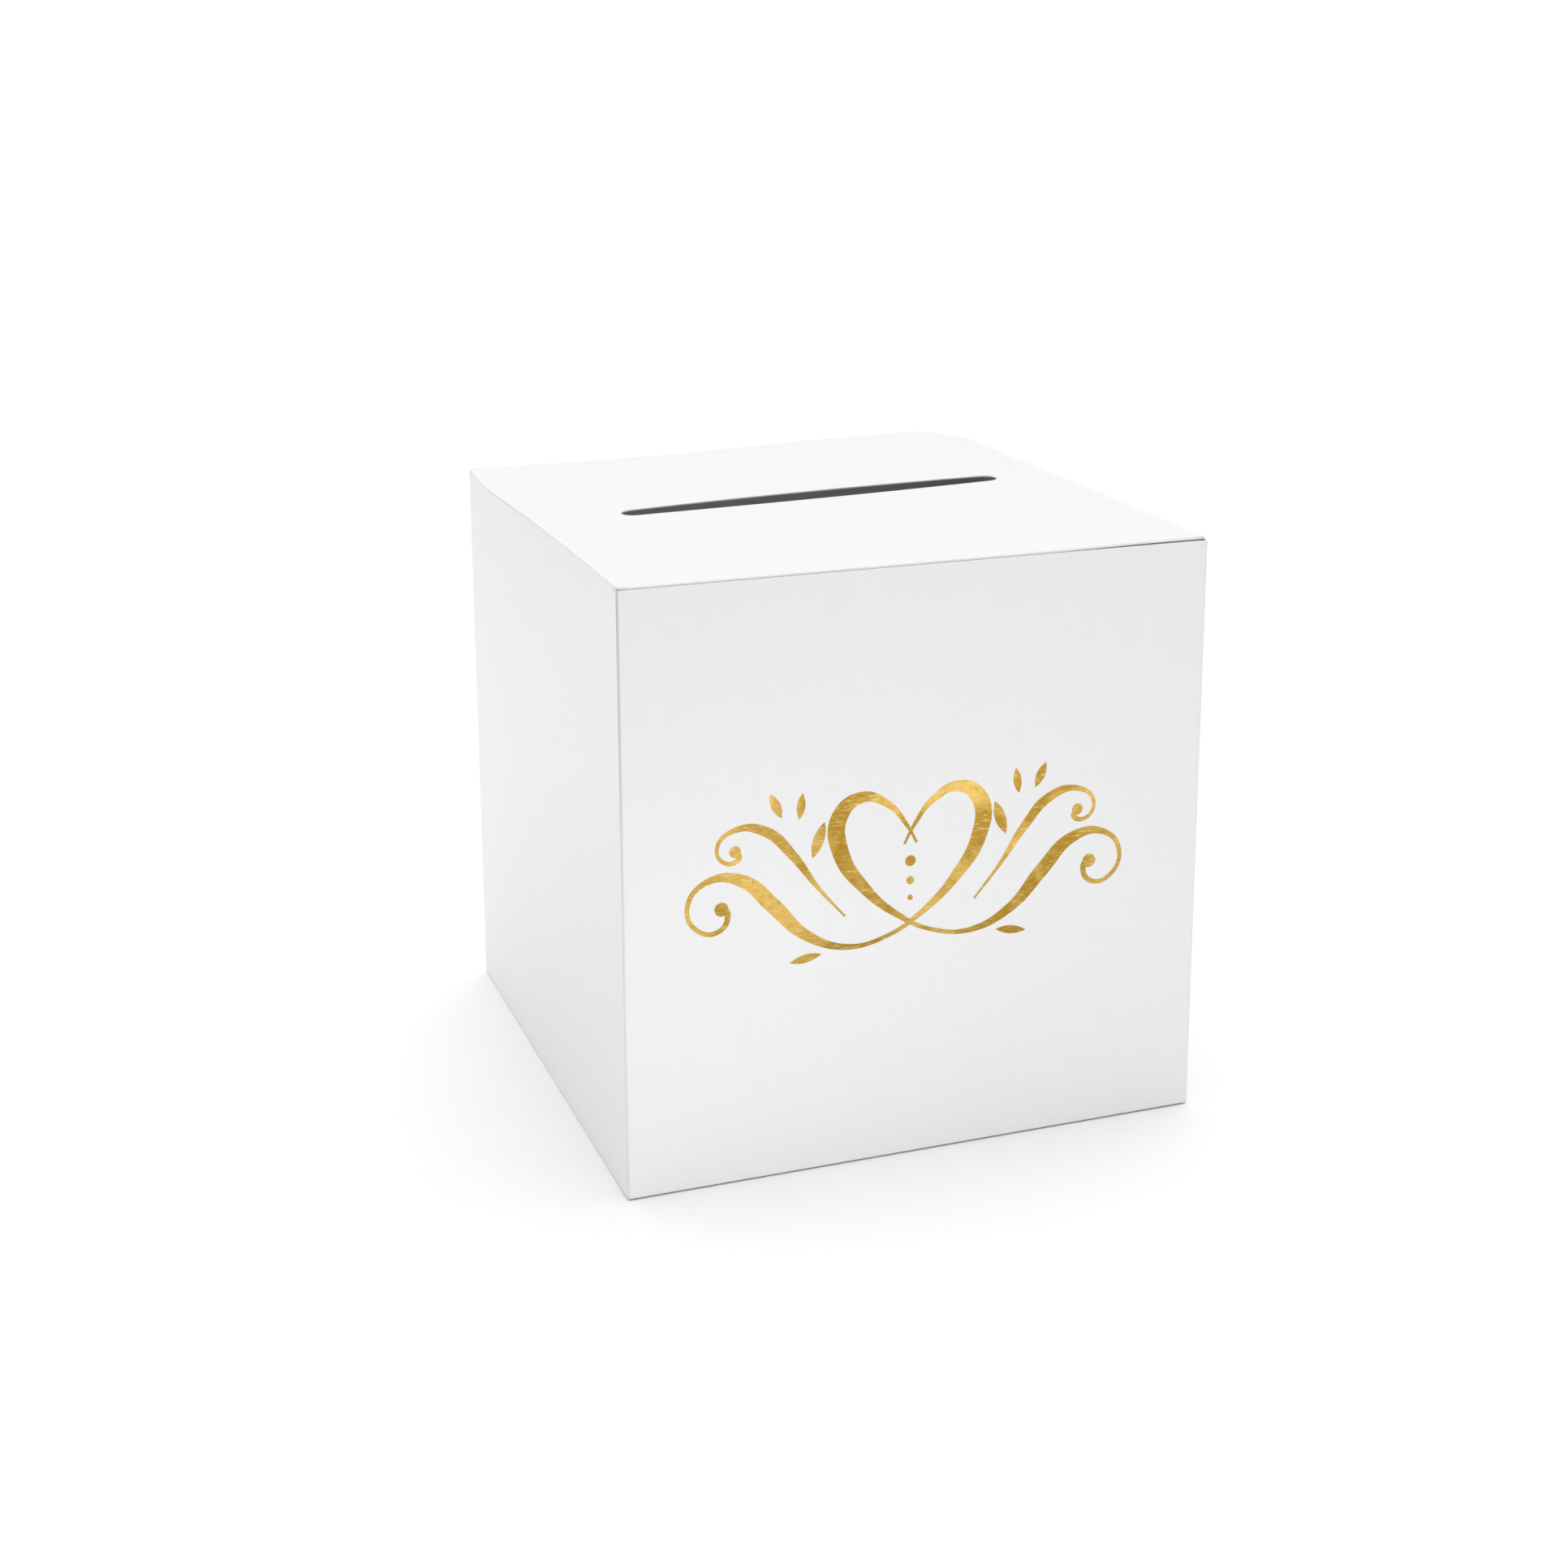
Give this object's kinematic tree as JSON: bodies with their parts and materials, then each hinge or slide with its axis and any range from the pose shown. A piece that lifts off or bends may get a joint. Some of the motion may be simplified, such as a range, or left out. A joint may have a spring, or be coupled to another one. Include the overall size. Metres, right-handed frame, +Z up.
{
  "type": "wedding card box",
  "caption": "Folding paperboard cube with a hinged tuck-in lid, a long card slot across its top and a gold foil heart flourish on its front",
  "frame": {"origin": "centre of the footprint on the surface the box stands on", "axes": "+Z up, the decorated front faces -Y, +X to the right seen from the front"},
  "size_m": [0.24, 0.24, 0.24],
  "materials": {
    "coated_board": "white coated paperboard with a smooth semi-matt face and raw cut edges",
    "gold_foil": "hot-stamped gold-tinted metallised foil, softly creased, with bright and dark patches",
    "glue": "dried milky carton glue"
  },
  "bodies": {
    "carton": {"front_panel": "coated_board", "back_panel": "coated_board", "left_panel": "coated_board", "right_panel": "coated_board", "front_left_fold": "coated_board", "front_right_fold": "coated_board", "rear_left_fold": "coated_board", "seam_fold": "coated_board", "front_bottom_fold": "coated_board", "rear_bottom_fold": "coated_board", "left_bottom_fold": "coated_board", "right_bottom_fold": "coated_board", "side_seam_tab": "coated_board", "seam_glue": "glue", "front_bottom_flap": "coated_board", "rear_bottom_flap": "coated_board", "left_bottom_flap": "coated_board", "right_bottom_flap": "coated_board", "foil_heart_scroll": "gold_foil", "foil_left_spray": "gold_foil", "foil_right_spray": "gold_foil", "foil_drops": "gold_foil", "lid_fold": "coated_board", "left_dust_fold": "coated_board", "right_dust_fold": "coated_board"},
    "lid": {"lid_panel": "coated_board", "tuck_fold": "coated_board"},
    "tuck": {"tuck_flap": "coated_board"},
    "left_dust": {"left_dust_flap": "coated_board"},
    "right_dust": {"right_dust_flap": "coated_board"}
  },
  "joints": [
    {"name": "lid_hinge", "type": "hinge", "parent": "carton", "child": "lid", "pos_m": [0, 0.11961, 0.23961], "axis": [-1, 0, 0], "range_deg": [0, 180], "deforming": ["lid_fold"]},
    {"name": "tuck_hinge", "type": "hinge", "parent": "lid", "child": "tuck", "pos_m": [0, -0.11873, 0.23938], "axis": [1, 0, 0], "range_deg": [0, 60], "deforming": ["tuck_fold"]},
    {"name": "left_dust_hinge", "type": "hinge", "parent": "carton", "child": "left_dust", "pos_m": [-0.11938, 0, 0.23878], "axis": [0, 1, 0], "range_deg": [0, 75], "deforming": ["left_dust_fold"]},
    {"name": "right_dust_hinge", "type": "hinge", "parent": "carton", "child": "right_dust", "pos_m": [0.11938, 0, 0.23878], "axis": [0, -1, 0], "range_deg": [0, 75], "deforming": ["right_dust_fold"]}
  ]
}
